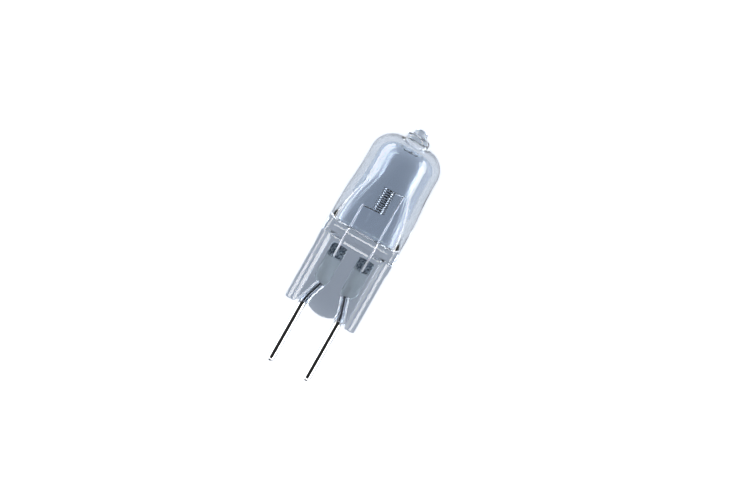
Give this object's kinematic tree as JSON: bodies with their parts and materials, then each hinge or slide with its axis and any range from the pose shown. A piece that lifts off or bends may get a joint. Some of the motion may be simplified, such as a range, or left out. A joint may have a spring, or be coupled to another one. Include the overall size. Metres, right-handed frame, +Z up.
{
  "type": "halogen capsule bulb",
  "caption": "Two-pin halogen capsule bulb: a clear round-topped glass bulb on a flat pressed pinch, with an upright coil on two leads, sealed foils and straight pins.",
  "frame": {"origin": "the point on the table under the middle of the lamp's length, as it lies at rest on its two pin tips and the flare of its bulb", "axes": "+X along the lying lamp from the pins towards the exhaust tip, with the lamp's own axis leaning up by 8.907 degrees; +Y towards pin_left; +Z up, out of the broad face of the pinch"},
  "size_m": [0.042, 0.0122, 0.0119],
  "materials": {
    "clear_glass": "gloss",
    "tungsten_wire": "satin",
    "lead_wire": "satin",
    "foil_strip": "satin",
    "pin_metal": "gloss"
  },
  "bodies": {
    "root": {"glass_envelope": "clear_glass", "filament": "tungsten_wire", "lead_left": "lead_wire", "lead_right": "lead_wire", "foil_left": "foil_strip", "foil_right": "foil_strip", "pin_left": "pin_metal", "pin_right": "pin_metal"}
  },
  "joints": []
}
